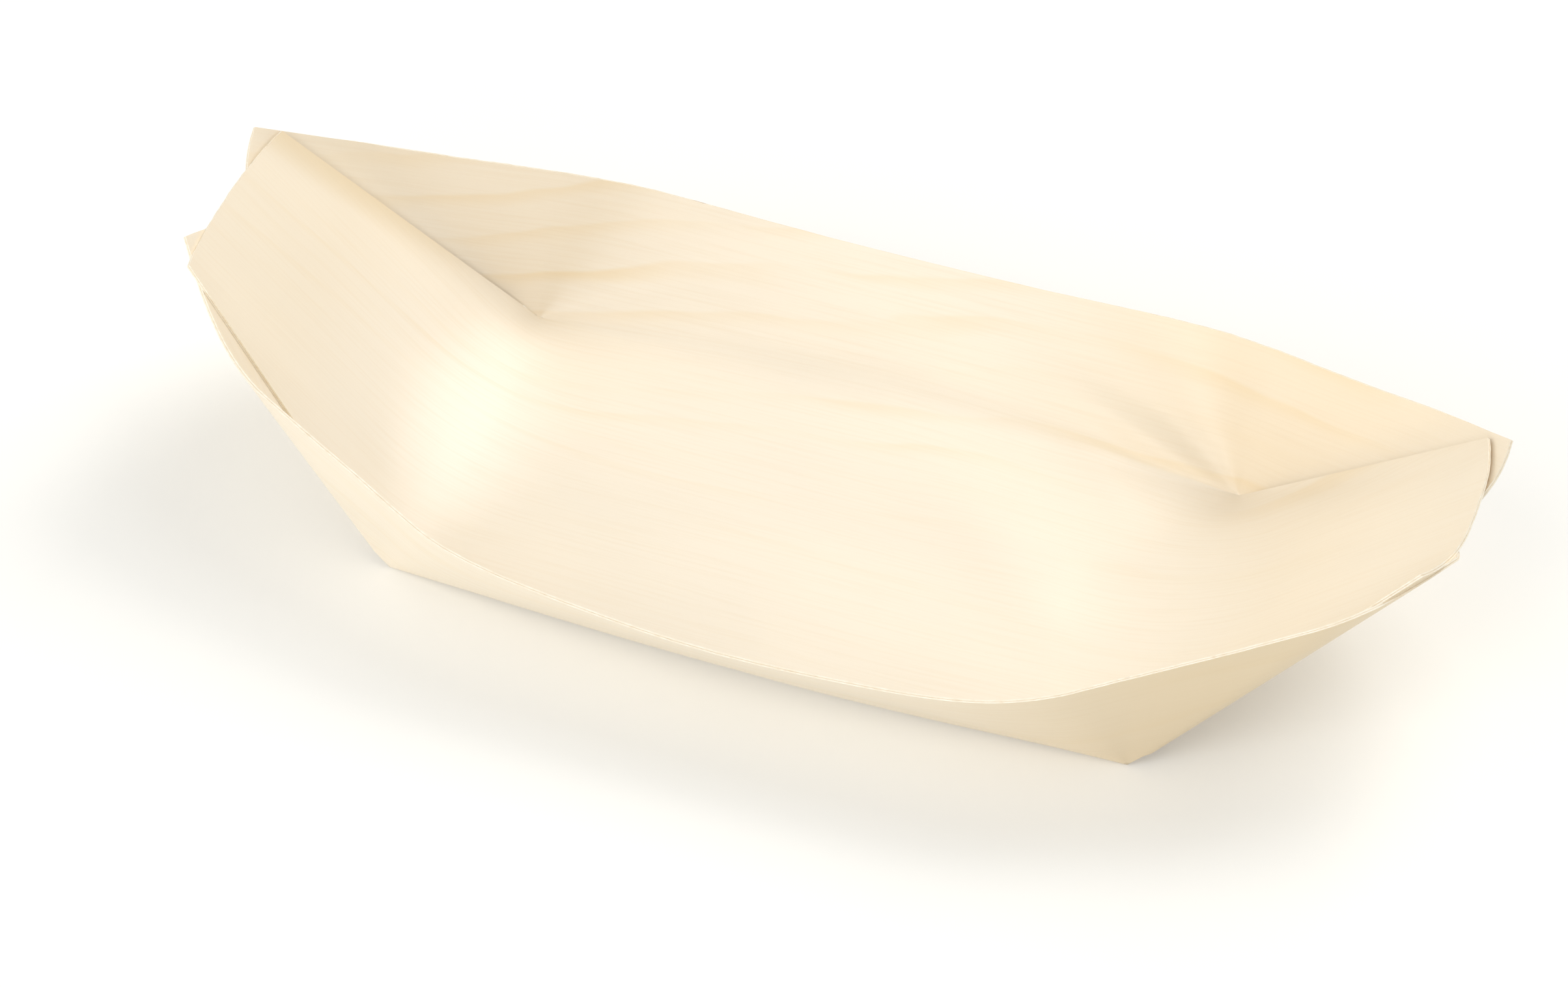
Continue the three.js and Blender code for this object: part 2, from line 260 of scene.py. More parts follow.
def round_bend(before, after, opening):
    """The cone between two panels, as the small circle that touches the great circles of both."""
    sine = math.sin(opening)
    shared = 1 + before @ after
    along = unit(np.cross(after, before))
    axis = (before + after) * sine / shared + along * math.sqrt(1 - 2 * sine ** 2 / shared)
    start = unit(axis - before * sine)
    stop = unit(axis - after * sine)
    flat_start = start - axis * (start @ axis)
    flat_stop = stop - axis * (stop @ axis)
    turn = angle_about(axis, flat_start, flat_stop)
    return SimpleNamespace(axis=axis, start=start, stop=stop, turn=turn, arc=sine * turn, rate=1 / sine)


class Corner:
    """The sheet round one slit end. Angles run on the flat blank from the crease towards the rim."""

    def __init__(self, fold, rise, lean, ridge_turn):
        crease = np.array((-1.0, 0.0, 0.0))
        wall = np.array((0.0, -math.sin(lean), math.cos(lean)))
        self.tab = np.array((-math.sin(rise), 0.0, math.cos(rise)))

        crease_bend = round_bend(UP, wall, fold.crease_round)
        self.crease_half = half = angle_about(UP, crease_bend.start, crease)
        ridge_half = math.asin(math.tan(fold.ridge_round) * math.tan(ridge_turn / 2))
        ridge = turned(crease, wall, -(fold.mid_angle + ridge_half))
        shoulder = turned(wall, ridge, -ridge_turn)
        ridge_bend = round_bend(wall, shoulder, fold.ridge_round)
        corner_bend = round_bend(shoulder, self.tab, fold.corner_round)

        ridge_end = fold.mid_angle + ridge_bend.arc
        corner_start = ridge_end + angle_about(shoulder, ridge_bend.stop, corner_bend.start)
        self.corner_end = corner_start + corner_bend.arc
        self.corner_stop = corner_bend.stop
        tab_edge = unit(np.array((math.cos(rise), -math.tan(fold.slit_taper), math.sin(rise))))
        self.edge_inset = angle_about(self.tab, tab_edge, corner_bend.stop)
        self.lap_start = self.corner_end - self.edge_inset - fold.lap_margin
        self.stations = (-half, half, fold.mid_angle, ridge_end, corner_start, self.corner_end)
        self.stretches = (
            (-half, -half, crease_bend.start, crease_bend.axis, crease_bend.turn / (2 * half)),
            (half, 0, crease, wall, 1),
            (fold.mid_angle, fold.mid_angle, ridge_bend.start, ridge_bend.axis, ridge_bend.rate),
            (ridge_end, ridge_end, ridge_bend.stop, shoulder, 1),
            (corner_start, corner_start, corner_bend.start, corner_bend.axis, corner_bend.rate),
            (self.corner_end, self.corner_end, corner_bend.stop, self.tab, 1),
        )

    def direction(self, at):
        found = np.zeros(at.shape + (3,))
        for begins, zero, start, axis, rate in self.stretches:
            here = at >= begins
            found[here] = turned(start, axis, -(at[here] - zero) * rate)
        return found

    def edge_lift(self, inset, distance):
        """How the corner's round lifts the tab's edge off the tab's plane, so that both lie together."""
        before = np.clip(self.edge_inset - inset, 0, None)
        flat = turned(self.corner_stop, self.tab, before)
        return (self.direction(self.corner_end - before) - flat) * distance[..., None]


class Fold:
    """The folded blank: its derived sizes and its two ends."""

    def __init__(self, blank, angles):
        self.__dict__.update(values(blank))
        self.__dict__.update(values(angles))
        self.floor_reach = self.floor_length / 2
        self.floor_half = self.floor_width / 2
        self.sheet_half = self.sheet_width / 2
        self.sheet_reach = self.sheet_length / 2
        self.side_width = self.sheet_half - self.floor_half
        self.thickness = 2 * self.veneer + self.paper + 2 * self.ply_gap
        self.lap_step = self.thickness + self.glue + 2 * self.glue_gap
        self.slit_taper = math.atan2(self.floor_half - self.tab_end_width / 2, self.tab_length)
        self.slit_angle = math.pi + self.slit_taper
        flap_reach = self.sheet_reach - self.floor_reach
        self.slit_end_half = self.floor_half - flap_reach * math.tan(self.slit_taper)
        self.mid_angle = math.atan2(self.side_width, self.floor_reach)
        self.tip_angle = math.pi - math.atan2(self.side_width, flap_reach)
        self.slit_end = np.array((self.floor_reach, self.floor_half, self.thickness / 2))
        self.ends = (
            End(self, -1, self.left_rise, self.left_front_ridge),
            End(self, 1, self.right_rise, self.right_front_ridge),
        )

    def side_bow(self, u, v):
        """How far the sides belly out at the middle of the boat."""
        along = np.clip(1 - (u / self.floor_reach) ** 2, 0, None) ** self.bow_falloff
        height = (v - self.floor_half) / self.side_width
        above = self.foot_bow - (self.foot_bow + self.rim_draw) * height
        below = self.foot_bow * np.clip(1 + height, 0, None)
        return along * np.where(height > 0, above, below)

    def wobble(self, along):
        """Unevenness of a cut edge, none at the middle of the boat."""
        return self.edge_wobble * sum(np.sin(along * wave) for wave in EDGE_WAVES) / len(EDGE_WAVES)

    def rings(self, root, reach):
        """Distances from the slit end to a ruling's end, with fine steps at the root."""
        steps = np.arange(1, ROOT_STEPS + 1) / ROOT_STEPS
        second = root + self.tab_bend - self.slit_relief
        shares = np.arange(1, RING_COUNT + 1) / RING_COUNT
        near = np.outer(root, np.append(0, steps))
        bend = root[:, None] + (self.tab_bend - self.slit_relief) * steps
        far = second[:, None] + np.outer(reach - second, shares)
        return np.hstack((near, bend, far))


class End:
    """One end of the boat: its tab and the two corners beside it."""

    def __init__(self, fold, side, rise, front_ridge):
        self.fold, self.side, self.rise = fold, side, rise
        self.tab = np.array((-math.sin(rise), 0.0, math.cos(rise)))
        self.corners = {
            1: Corner(fold, rise, fold.back_lean, fold.back_ridge),
            -1: Corner(fold, rise, fold.front_lean, front_ridge),
        }

    def tab_points(self, beyond, v):
        """Floor and tab: a soft bend in the middle of the end, tightening to a sharp one at each slit end."""
        fold = self.fold
        across = np.abs(v)
        reach = fold.tab_bend * np.clip(1 - (v / fold.floor_half) ** 2, LEAST_BEND, None)
        radius = reach / math.tan(self.rise / 2)
        turn = self.rise * (np.clip(beyond, -reach, reach) + reach) / (2 * reach)
        past = np.clip(beyond - reach, 0, None)
        x = fold.floor_reach + np.minimum(beyond, -reach) + radius * np.sin(turn) + past * math.cos(self.rise)
        y = across + fold.side_bow(fold.floor_reach + beyond, across)
        z = fold.thickness / 2 + radius * (1 - np.cos(turn)) + past * math.sin(self.rise)
        points = np.stack((x, y, z), -1)
        inward = fold.floor_half - across
        inset = np.arctan2(inward, beyond) - fold.slit_taper
        distance = np.where(beyond > 0, np.hypot(inward, beyond), 0)
        back, front = (self.corners[sign].edge_lift(inset, distance) for sign in (1, -1))
        points += np.where((v > 0)[..., None], back, front)
        signs = np.stack((np.full(v.shape, self.side), np.where(v < 0, -1, 1), np.ones(v.shape)), -1)
        return points * signs

    def side_points(self, across, at, distance):
        """A side and its flap: the back flaps cross another lap step outside the front ones."""
        fold, corner = self.fold, self.corners[across]
        points = corner.direction(at) * distance[..., None] + fold.slit_end
        steps = np.minimum(2 if across > 0 else 1, distance / fold.slit_relief)
        stepped = smooth(corner.lap_start - fold.lap_ease, corner.lap_start, at)
        points -= (fold.lap_step * steps * stepped)[..., None] * self.tab
        u = fold.floor_reach - distance * np.cos(at)
        v = fold.floor_half + distance * np.sin(at)
        points[..., 1] += fold.side_bow(u, v)
        return points * (self.side, across, 1), u * self.side, v * across

    def rulings(self, across):
        """Lines from the slit end: their angles on the blank, and how far each goes."""
        fold, corner = self.fold, self.corners[across]
        stations = sorted((*corner.stations, corner.lap_start, fold.tip_angle, fold.slit_angle))
        spans = zip(stations, stations[1:])
        runs = [np.linspace(a, b, math.ceil((b - a) / LINE_STEP), endpoint=False) for a, b in spans]
        at = np.append(np.concatenate(runs), fold.slit_angle)
        to_middle = -fold.floor_reach / corner.direction(at)[:, 0].clip(None, -LEAST_SLANT)
        to_rim = fold.side_width / np.sin(at.clip(fold.mid_angle, fold.tip_angle))
        rim_u = (fold.floor_reach - to_rim * np.cos(at)) * self.side
        to_rim += fold.wobble(rim_u * across)
        share = np.clip((at - fold.tip_angle) / (fold.slit_angle - fold.tip_angle), 0, 1)
        bow = 4 * fold.flap_end_bow * share * (1 - share)
        end_u = fold.sheet_reach - fold.floor_reach + bow
        end_v = lerp(fold.sheet_half, fold.slit_end_half, share) - fold.floor_half
        in_flap = at > fold.tip_angle
        reach = np.where(at <= fold.mid_angle, to_middle, np.where(in_flap, np.hypot(end_u, end_v), to_rim))
        return np.where(in_flap, math.pi - np.arctan2(end_v, end_u), at), reach

    def side_patch(self, across):
        """Grid of a side and its flap, without the relieved root of the flap."""
        fold, corner = self.fold, self.corners[across]
        at, reach = self.rulings(across)
        share = (at - corner.lap_start) / (fold.slit_angle - corner.lap_start)
        lapped = share > ROUNDING
        root = np.where(lapped, lerp(fold.slit_relief, fold.slit_relief_at_lap, share), fold.slit_relief)
        distance = fold.rings(root, reach)
        distance[lapped, :ROOT_STEPS] = np.nan
        points, u, v = self.side_points(across, np.broadcast_to(at[:, None], distance.shape), distance)
        return SimpleNamespace(points=points, u=u, v=v, flip=self.side * across > 0)

    def floor_edge(self, across):
        """Where the rings of one corner meet the edge of the flat floor, from the middle outwards."""
        fold, half = self.fold, self.corners[across].crease_half
        reach = fold.floor_reach / math.cos(half)
        distance = fold.rings(np.array((fold.slit_relief,)), np.array((reach,)))[0, ::-1]
        return -distance * math.cos(half), across * (fold.floor_half - distance * math.sin(half))

    def floor_patch(self):
        """Grid of half the floor and the tab."""
        fold = self.fold
        spread = np.sin(np.linspace(-math.pi / 2, math.pi / 2, ACROSS_COUNT))
        share = (1 + spread) / 2
        back_beyond, back_v = self.floor_edge(1)
        front_beyond, front_v = self.floor_edge(-1)
        beyond = front_beyond[:, None] + np.outer(back_beyond - front_beyond, share)
        v = front_v[:, None] + np.outer(back_v - front_v, share)
        tab_reach = fold.tab_length + fold.tab_end_bow * (1 - spread ** 2)
        tab_reach += fold.wobble(spread * fold.tab_end_width / 2)
        tab_beyond = fold.rings(np.full(ACROSS_COUNT, fold.slit_relief), tab_reach).T[1:]
        tab_v = spread * (fold.floor_half - tab_beyond * math.tan(fold.slit_taper))
        beyond, v = np.vstack((beyond, tab_beyond)), np.vstack((v, tab_v))
        u = (fold.floor_reach + beyond) * self.side
        return SimpleNamespace(points=self.tab_points(beyond, v), u=u, v=v, flip=self.side > 0)


# Middle surface of the sheet

def slow_wave(u, v, along, across, phase, share):
    return share * np.sin(u * along + v * across + phase)


def bulge(fold, u, v):
    """How far the sheet bulges inwards: dents, and slow waves that fade out before the laps."""
    loose = 1 - smooth(*WAVE_FADE, (np.abs(u) - fold.floor_reach) / MM)
    side = smooth(fold.floor_half, fold.sheet_half, np.abs(v))
    side_wave = sum(slow_wave(u, v, *row) for row in SIDE_WAVES)
    floor_wave = FLOOR_WAVE_SHARE * (1 + slow_wave(u, v, *FLOOR_WAVE)) / 2
    waves = fold.side_wave * loose * (side * side_wave + (1 - side) * floor_wave)
    from_slit = np.hypot(np.abs(u) - fold.floor_reach, np.abs(v) - fold.floor_half) / MM
    return waves + smooth(*DENT_SPAN, from_slit) * dents(u / MM, v / MM) * MM


def dents(u, v):
    """Height of the dents at a place on the blank, in millimetres."""
    height = np.zeros(u.shape)
    for (middle_u, middle_v), turn, half_length, half_width, peak in DENTS:
        cosine, sine = math.cos(math.radians(turn)), math.sin(math.radians(turn))
        along = (u - middle_u) * cosine + (v - middle_v) * sine
        across = (v - middle_v) * cosine - (u - middle_u) * sine
        height += peak * np.exp(-(along / half_length) ** 2 - (across / half_width) ** 2)
    return height


def growth_rings(u, v):
    """Ring number at a place on the blank: lines that climb to the back rim, and soft arches."""
    climb = RING_CLIMB * np.minimum(u - CLIMB_END, 0) * smooth(*CLIMB_SPAN, v)
    for middle_u, middle_v, half_u, half_v, height in RING_ARCHES:
        climb = climb + height * np.exp(-((u - middle_u) / half_u) ** 2 - ((v - middle_v) / half_v) ** 2)
    return (v - climb) / RING_WIDTH


def inside_yellow(fold, u, v):
    """How far the inside is mixed towards the yellower colour: painted shade along the back edge of a tab and
    on the back right, and a yellower tone towards the ends.
    """
    floor_half = fold.floor_half / MM
    beyond = np.abs(u) - fold.floor_reach / MM
    inward = floor_half - beyond * math.tan(fold.slit_taper) - v
    # Painted shade along the back edge of each tab, weaker on the right tab
    edge = np.where(inward > -TAB_EDGE_SHADE_SLACK, 1 - smooth(0, TAB_EDGE_SHADE_WIDTH, inward), 0)
    edge_shade = edge * smooth(*TAB_EDGE_SHADE_SPAN, beyond) * np.where(u < 0, 1, RIGHT_TAB_EDGE_SHADE)
    # Painted shade on the back right of the inside; elsewhere a yellower tone towards the right end
    right = np.where(v > floor_half, smooth(*BACK_RIGHT_SHADE_SPAN, u), smooth(*RIGHT_END_SPAN, u))
    return np.maximum(edge_shade, ENDS_YELLOW_AND_SHADE * np.maximum(right, smooth(*LEFT_END_SPAN, -u)))


def wood_and_shade_patterns(fold, u, v):
    """What the wood's material reads at a place on the blank, in millimetres: its rings and figure, a
    yellower tone and painted shade.
    """
    return {
        "rings": growth_rings(u, v),
        "figure": lerp(FIGURE_LEAST, 1, smooth(*FIGURE_SPAN, v)),
        "inside_yellow": inside_yellow(fold, u, v),
        # Painted shade on the right end of the outside
        "outside_yellow": OUTSIDE_SHADE * smooth(*OUTSIDE_SHADE_SPAN, u),
    }


def joined_patches(fold):
    """The folded middle surface, whose upper side faces the inside, with each point's place on the blank."""
    points, places, faces = [], [], []
    for end in fold.ends:
        for patch in (end.floor_patch(), end.side_patch(1), end.side_patch(-1)):
            rows, columns = patch.u.shape
            index = np.arange(rows * columns).reshape(rows, columns)
            corners = (index[:-1, :-1], index[:-1, 1:], index[1:, 1:], index[1:, :-1])
            quads = np.stack(corners, -1).reshape(-1, 4)
            missing = np.isnan(patch.u).ravel()
            quads = quads[~missing[quads].any(1)]
            faces.append((quads[:, ::-1] if patch.flip else quads) + sum(map(len, points)))
            points.append(np.nan_to_num(patch.points.reshape(-1, 3)))
            place = np.stack((patch.u, patch.v, np.zeros(patch.u.shape)), -1)
            places.append(np.nan_to_num(place.reshape(-1, 3)))
    mesh = bpy.data.meshes.new("sheet")
    mesh.from_pydata(np.vstack(points).tolist(), [], np.vstack(faces).tolist())
    blank = mesh.attributes.new("blank", "FLOAT_VECTOR", "POINT")
    blank.data.foreach_set("vector", np.vstack(places).ravel())
    return mesh


def merge_seams(mesh):
    """Join the patches where they meet, and drop the points that no face uses."""
    merged = bmesh.new()
    merged.from_mesh(mesh)
    bmesh.ops.delete(merged, geom=[vert for vert in merged.verts if not vert.link_faces], context="VERTS")
    bmesh.ops.remove_doubles(merged, verts=merged.verts, dist=MERGE_DISTANCE)
    merged.to_mesh(mesh)
    merged.free()


def point_vectors(mesh, collection, name):
    found = np.zeros(len(mesh.vertices) * 3, np.float32)
    collection.foreach_get(name, found)
    return found.reshape(-1, 3)


def sheet_mesh(fold):
    """The middle surface with its waves and dents, and the patterns of its wood and its painted shade."""
    mesh = joined_patches(fold)
    merge_seams(mesh)
    points = point_vectors(mesh, mesh.vertices, "co")
    normals = point_vectors(mesh, mesh.vertex_normals, "vector")
    u, v, _ = point_vectors(mesh, mesh.attributes["blank"].data, "vector").T
    points = points + normals * bulge(fold, u, v)[:, None]
    mesh.vertices.foreach_set("co", points.ravel())
    for name, amounts in wood_and_shade_patterns(fold, u / MM, v / MM).items():
        kept = mesh.attributes.new(name, "FLOAT", "POINT")
        kept.data.foreach_set("value", amounts.astype(np.float32))
    mesh.update()
    return mesh


# Node helpers

def add_node(tree, kind, sockets=None, **settings):
    """A node with its settings made and its inputs linked or set."""
    node = tree.nodes.new(kind)
    for name, value in settings.items():
        setattr(node, name, value)
    for name, value in (sockets or {}).items():
        if isinstance(value, bpy.types.NodeSocket):
            tree.links.new(value, node.inputs[name])
        else:
            node.inputs[name].default_value = value
    return node


def maths(tree, operation, *inputs):
    return add_node(tree, "ShaderNodeMath", dict(enumerate(inputs)), operation=operation).outputs[0]


def scaled(tree, vector, scale):
    return add_node(tree, "ShaderNodeVectorMath", {0: vector, "Scale": scale}, operation="SCALE").outputs[0]


def mixed(tree, share, first, second):
    """A colour between two, by the sockets that a mix of colours uses."""
    return add_node(tree, "ShaderNodeMix", {0: share, 6: first, 7: second}, data_type="RGBA").outputs[2]


def attribute(tree, name, kind="Fac"):
    return add_node(tree, "ShaderNodeAttribute", attribute_name=name).outputs[kind]


def stretched_noise(tree, place, scale, detail, shift=(0, 0, 0)):
    mapping = add_node(tree, "ShaderNodeMapping", {"Vector": place, "Scale": scale, "Location": shift})
    noise = add_node(tree, "ShaderNodeTexNoise", {"Vector": mapping.outputs[0], "Scale": 1, "Detail": detail})
    return noise.outputs[0]


def ranged(tree, value, from_low, from_high, to_low=0, to_high=1, ease="LINEAR"):
    sockets = {
        "Value": value, "From Min": from_low, "From Max": from_high, "To Min": to_low, "To Max": to_high}
    return add_node(tree, "ShaderNodeMapRange", sockets, interpolation_type=ease).outputs[0]


def new_material(name):
    """An empty material with a principled surface, and its tree and shader."""
    material = bpy.data.materials.new(name)
    material.use_nodes = True
    tree = material.node_tree
    return material, tree, tree.nodes["Principled BSDF"]


# Materials

# Middle of a noise's range
NOISE_MIDDLE = (0.3, 0.7)

# A noise is its cycles per metre along three axes and its detail, and a span runs from least to most
WOOD = SimpleNamespace(
    drift_noise=((14, 42, 1), 3), drift_span=(0.2, 0.8), drift=(-0.5, 0.5),
    ring_rise=(0.5, 0.92), ring_fall=(0.99, 0.89), ring_strength=(0.1, 0.75),
    fade_noise=((22, 60, 1), 1), fade_span=(0.35, 0.65), yellow_share=0.6,
    streak_noise=((45, 1900, 1), 4), streak_span=(0.45, 0.8), streak_share=0.25,
    cloud_noise=((16, 34, 1), 2), cloud_shade=(0.97, 1.02),
    fleck_noise=((300, 5200, 1), 2), fleck_span=(0.68, 0.8), fleck_share=0.35,
    roughness=(0.35, 0.44), specular=0.65,
    fleck_relief=0.4, relief_strength=0.25, relief_depth=0.06 * MM,
)
CUT_EDGE = SimpleNamespace(
    grain_noise=((700, 900, 2500), 3), grain_span=(0.35, 0.75), grain_share=0.5,
    speck_noise=((160, 160, 300), 3), speck_span=(0.68, 0.76), speck_share=0.8, roughness=(0.7, 0.85),
)
PAPER = SimpleNamespace(fibre_noise=((900, 1500, 1500), 4), fibre_span=(0.4, 0.7), roughness=(0.8, 0.95))
GLUE = SimpleNamespace(
    cloud_noise=((260, 260, 260), 3), cloud_span=(0.35, 0.7), cloud_share=0.5, roughness=(0.3, 0.5))

# Where each veneer's noise starts
INSIDE_SHIFT = (0, 0, 0)
OUTSIDE_SHIFT = (3.7, 8.2, 0)


def veneer_material(name, colours, yellowing_and_shade, shift):
    """Finely sliced softwood: soft growth rings, yellower places and painted shade, fibres along the boat and
    small flecks.
    """
    material, tree, surface = new_material(name)
    place = attribute(tree, "blank", "Vector")

    drift = stretched_noise(tree, place, *WOOD.drift_noise, shift)
    ring = maths(tree, "ADD", attribute(tree, "rings"), ranged(tree, drift, *WOOD.drift_span, *WOOD.drift))
    ring_share = maths(tree, "FRACT", ring)
    ring_number = add_node(tree, "ShaderNodeTexWhiteNoise", {"W": maths(tree, "FLOOR", ring)},
                           noise_dimensions="1D").outputs["Value"]
    rise = ranged(tree, ring_share, *WOOD.ring_rise, ease="SMOOTHSTEP")
    fall = ranged(tree, ring_share, *WOOD.ring_fall, ease="SMOOTHSTEP")
    strength = ranged(tree, ring_number, 0, 1, *WOOD.ring_strength)
    fade = ranged(tree, stretched_noise(tree, place, *WOOD.fade_noise, shift), *WOOD.fade_span)
    shown = maths(tree, "MULTIPLY", maths(tree, "MULTIPLY", strength, fade), attribute(tree, "figure"))
    late = maths(tree, "MULTIPLY", maths(tree, "MULTIPLY", rise, fall), shown)
    wood = mixed(tree, late, colours.early_wood, colours.late_wood)
    # Mixing towards this colour paints shade in places, and a yellower tone in others
    yellow_and_shade = maths(tree, "MULTIPLY", attribute(tree, yellowing_and_shade), WOOD.yellow_share)
    wood = mixed(tree, yellow_and_shade, wood, colours.yellow_wood)

    streak = stretched_noise(tree, place, *WOOD.streak_noise, shift)
    wood = mixed(tree, ranged(tree, streak, *WOOD.streak_span, 0, WOOD.streak_share), wood, colours.fibre)
    cloud = stretched_noise(tree, place, *WOOD.cloud_noise, shift)
    shade = ranged(tree, cloud, *NOISE_MIDDLE, *WOOD.cloud_shade)
    shaded = scaled(tree, wood, shade)
    fleck = stretched_noise(tree, place, *WOOD.fleck_noise, shift)
    wood = mixed(tree, ranged(tree, fleck, *WOOD.fleck_span, 0, WOOD.fleck_share), shaded, colours.fibre)
    tree.links.new(wood, surface.inputs["Base Color"])

    roughness = ranged(tree, streak, *NOISE_MIDDLE, *WOOD.roughness)
    tree.links.new(roughness, surface.inputs["Roughness"])
    relief = maths(tree, "ADD", streak, maths(tree, "MULTIPLY", fleck, WOOD.fleck_relief))
    bump = add_node(tree, "ShaderNodeBump", {
        "Height": relief, "Strength": WOOD.relief_strength, "Distance": WOOD.relief_depth})
    tree.links.new(bump.outputs[0], surface.inputs["Normal"])
    surface.inputs["Specular IOR Level"].default_value = WOOD.specular
    return material


def plain_material(name, noise):
    """A material with a noise in the object's own place, and that noise."""
    material, tree, surface = new_material(name)
    place = add_node(tree, "ShaderNodeTexCoord").outputs["Object"]
    return material, tree, surface, place, stretched_noise(tree, place, *noise)


def set_surface(tree, surface, tint, noise, roughness):
    """Link a tint, and a roughness that follows a noise."""
    tree.links.new(tint, surface.inputs["Base Color"])
    tree.links.new(ranged(tree, noise, *NOISE_MIDDLE, *roughness), surface.inputs["Roughness"])


def cut_edge_material(colours):
    """The sawn edge of a veneer: paler and darker fibres, with brown specks here and there."""
    material, tree, surface, place, grain = plain_material("cut_edge", CUT_EDGE.grain_noise)
    share = ranged(tree, grain, *CUT_EDGE.grain_span, 0, CUT_EDGE.grain_share)
    wood = mixed(tree, share, colours.cut_edge, colours.fibre)
    speck = stretched_noise(tree, place, *CUT_EDGE.speck_noise)
    share = ranged(tree, speck, *CUT_EDGE.speck_span, 0, CUT_EDGE.speck_share)
    wood = mixed(tree, share, wood, colours.cut_fleck)
    set_surface(tree, surface, wood, grain, CUT_EDGE.roughness)
    return material


def paper_material(colours):
    """Brown paper with darker fibres."""
    material, tree, surface, _, fibres = plain_material("brown_paper", PAPER.fibre_noise)
    tint = mixed(tree, ranged(tree, fibres, *PAPER.fibre_span), colours.paper, colours.paper_fibre)
    set_surface(tree, surface, tint, fibres, PAPER.roughness)
    return material


def glue_material(colours):
    """Dried glue, a little glossy and cloudy."""
    material, tree, surface, _, cloud = plain_material("dried_glue", GLUE.cloud_noise)
    share = ranged(tree, cloud, *GLUE.cloud_span, 0, GLUE.cloud_share)
    tint = mixed(tree, share, colours.glue, colours.paper)
    set_surface(tree, surface, tint, cloud, GLUE.roughness)
    return material


# Plies

def ply_tree():
    """Geometry nodes: one ply as the sheet's surface at two heights, closed along its cut edge."""
    tree = bpy.data.node_groups.new("Ply", "GeometryNodeTree")
    sockets = (
        ("Sheet", "INPUT", "NodeSocketGeometry"),
        ("Lower face", "INPUT", "NodeSocketFloat"),
        ("Upper face", "INPUT", "NodeSocketFloat"),
        ("Face material", "INPUT", "NodeSocketMaterial"),
        ("Edge material", "INPUT", "NodeSocketMaterial"),
        ("Ply", "OUTPUT", "NodeSocketGeometry"),
    )
    for name, in_out, kind in sockets:
        tree.interface.new_socket(name=name, in_out=in_out, socket_type=kind)
    entry = add_node(tree, "NodeGroupInput").outputs
    kept = tree.nodes.new("GeometryNodeCaptureAttribute")
    kept.capture_items.new("VECTOR", "Normal")
    tree.links.new(entry["Sheet"], kept.inputs["Geometry"])
    tree.links.new(add_node(tree, "GeometryNodeInputNormal").outputs[0], kept.inputs["Normal"])
    normal = kept.outputs["Normal"]

    down = scaled(tree, normal, entry["Lower face"])
    lower = add_node(tree, "GeometryNodeSetPosition",
                     {"Geometry": kept.outputs["Geometry"], "Offset": down}).outputs[0]
    walls = add_node(tree, "GeometryNodeExtrudeMesh", {"Mesh": lower, "Offset Scale": 0, "Individual": False})
    height = maths(tree, "SUBTRACT", entry["Upper face"], entry["Lower face"])
    rise = scaled(tree, normal, height)
    raised = add_node(tree, "GeometryNodeSetPosition", {
        "Geometry": walls.outputs["Mesh"], "Selection": walls.outputs["Top"], "Offset": rise})
    underside = add_node(tree, "GeometryNodeFlipFaces", {"Mesh": lower})
    joined = add_node(tree, "GeometryNodeJoinGeometry")
    for part in (underside, raised):
        tree.links.new(part.outputs[0], joined.inputs[0])
    welded = add_node(tree, "GeometryNodeMergeByDistance",
                      {"Geometry": joined.outputs[0], "Distance": WELD_DISTANCE})
    real = add_node(tree, "GeometryNodeRealizeInstances", {"Geometry": welded.outputs[0]})
    faced = add_node(tree, "GeometryNodeSetMaterial",
                     {"Geometry": real.outputs[0], "Material": entry["Face material"]})
    edged = add_node(tree, "GeometryNodeSetMaterial", {
        "Geometry": faced.outputs[0], "Selection": walls.outputs["Side"], "Material": entry["Edge material"]})
    add_node(tree, "NodeGroupOutput", {"Ply": edged.outputs[0]})
    return tree


def baked(name, mesh, tree, inputs):
    """A plain mesh object made by running a geometry node tree on a mesh."""
    source = bpy.data.objects.new(name + "_source", mesh)
    bpy.context.scene.collection.objects.link(source)
    modifier = source.modifiers.new("Shape", "NODES")
    modifier.node_group = tree
    for item in tree.interface.items_tree:
        if item.name in inputs:
            modifier[item.identifier] = inputs[item.name]
    source.update_tag()
    bpy.context.view_layer.update()
    graph = bpy.context.evaluated_depsgraph_get()
    result = bpy.data.meshes.new_from_object(
        source.evaluated_get(graph), preserve_all_data_layers=True, depsgraph=graph)
    source.modifiers.remove(modifier)
    bpy.data.objects.remove(source)
    return finished(name, result)


def finished(name, mesh):
    """An object at the origin with smooth faces and sharp cut edges."""
    mesh.name = name
    mesh.shade_smooth()
    mesh.set_sharp_from_angle(angle=SHARP_ANGLE)
    piece = bpy.data.objects.new(name, mesh)
    bpy.context.scene.collection.objects.link(piece)
    return piece


def stand_in(piece, node):
    """The piece rides on the boat and shows in place of a CAD node."""
    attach(piece, BODY)
    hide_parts(node)


def add_ply(context, name, node, heights, face, edge):
    scene = context.scene
    fold = Fold(scene.boat_blank, scene.boat_fold)
    tree = bpy.data.node_groups.get("Ply") or ply_tree()
    lower, upper = heights
    inputs = {"Lower face": lower, "Upper face": upper, "Face material": face, "Edge material": edge}
    stand_in(baked(name, sheet_mesh(fold), tree, inputs), node)


# Lap glue

# Place of each film of glue, in lap steps outside its tab
LAPS = {"inner": 0.5, "outer": 1.5}
# A film of glue: points round it, and its profile in shares of its radius and its thickness
FILM_POINTS = 72
FILM_PROFILE = ((0.55, -0.5), (0.9, -0.46), (1.0, -0.2), (1.0, 0.2), (0.9, 0.46), (0.55, 0.5))
